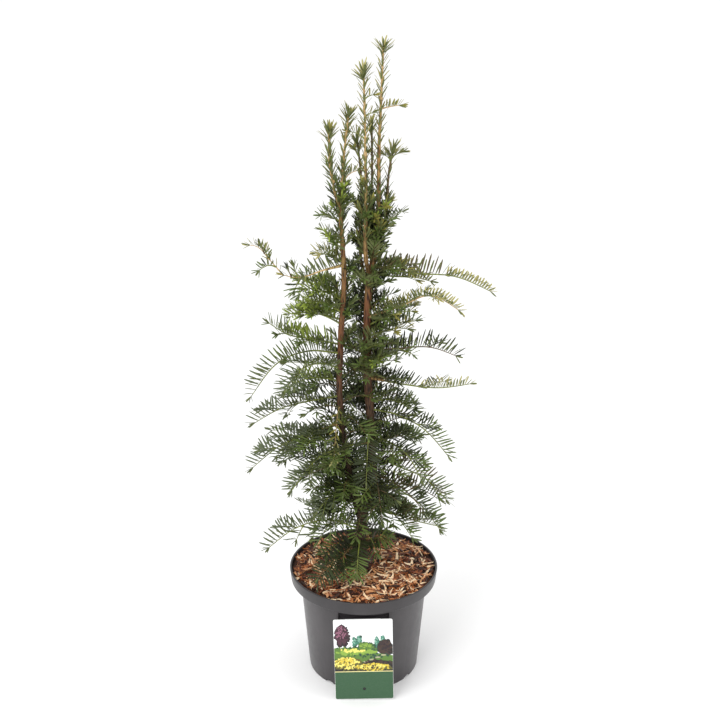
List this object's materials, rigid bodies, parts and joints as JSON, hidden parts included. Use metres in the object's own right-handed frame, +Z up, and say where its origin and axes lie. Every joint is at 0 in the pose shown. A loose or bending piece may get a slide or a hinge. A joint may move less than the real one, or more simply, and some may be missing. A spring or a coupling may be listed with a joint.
{
  "type": "potted english yew",
  "caption": "Young English yew with upright leaders and tiers of needled side shoots, in a round charcoal nursery pot with bark mulch and a hanging plant label.",
  "frame": {"origin": "centre of the pot's flat underside", "axes": "+Z up along the pot's axis, -Y the front where the label hangs, +X to the right seen from the front"},
  "size_m": [0.4119, 0.2795, 1.101],
  "materials": {
    "pot_plastic": "matt moulded polypropylene, charcoal",
    "bark_mulch": "shredded and chipped bark, tan to dark brown",
    "label_card": "printed plastic card, satin",
    "old_bark": "red-brown fibrous bark",
    "young_bark": "golden brown to green-tan young bark",
    "needles": "dark glossy green needles, light green at the shoot tips"
  },
  "bodies": {
    "root": {"pot": "pot_plastic", "potting_mix": "bark_mulch", "plant_label": "label_card", "trunk": "old_bark", "left_stem": "old_bark", "second_leader": "young_bark", "right_leader": "young_bark", "inner_leader": "young_bark", "mid_leader": "young_bark", "left_fork": "young_bark", "back_foot_foliage": "needles", "back_low_foliage": "needles", "back_low_right_foliage": "needles", "back_middle_foliage": "needles", "back_shoulder_foliage": "needles", "back_upper_foliage": "needles", "front_foot_foliage": "needles", "front_foot_left_foliage": "needles", "front_hanging_foliage": "needles", "front_low_foliage": "needles", "inner_leader_top": "needles", "left_crest_foliage": "needles", "left_droop_foliage": "needles", "left_foot_foliage": "needles", "left_fork_top": "needles", "left_front_foliage": "needles", "left_high_bough": "young_bark", "left_high_foliage": "needles", "left_high_tip_foliage": "needles", "left_low_back_foliage": "needles", "left_low_bough": "young_bark", "left_low_foliage": "needles", "left_low_front_bough": "young_bark", "left_low_front_foliage": "needles", "left_middle_foliage": "needles", "left_shoulder_foliage": "needles", "left_sprig_foliage": "needles", "left_stem_top": "needles", "left_upper_back_foliage": "needles", "left_upper_foliage": "needles", "mid_leader_top": "needles", "right_crest_foliage": "needles", "right_droop_foliage": "needles", "right_foot_foliage": "needles", "right_front_foliage": "needles", "right_high_bough": "young_bark", "right_high_foliage": "needles", "right_leader_top": "needles", "right_low_back_foliage": "needles", "right_low_foliage": "needles", "right_middle_back_foliage": "needles", "right_middle_bough": "young_bark", "right_middle_foliage": "needles", "right_shoulder_foliage": "needles", "right_sprig_foliage": "needles", "right_upper_back_foliage": "needles", "right_upper_bough": "young_bark", "right_upper_foliage": "needles", "second_leader_top": "needles", "trunk_top": "needles"}
  },
  "joints": []
}
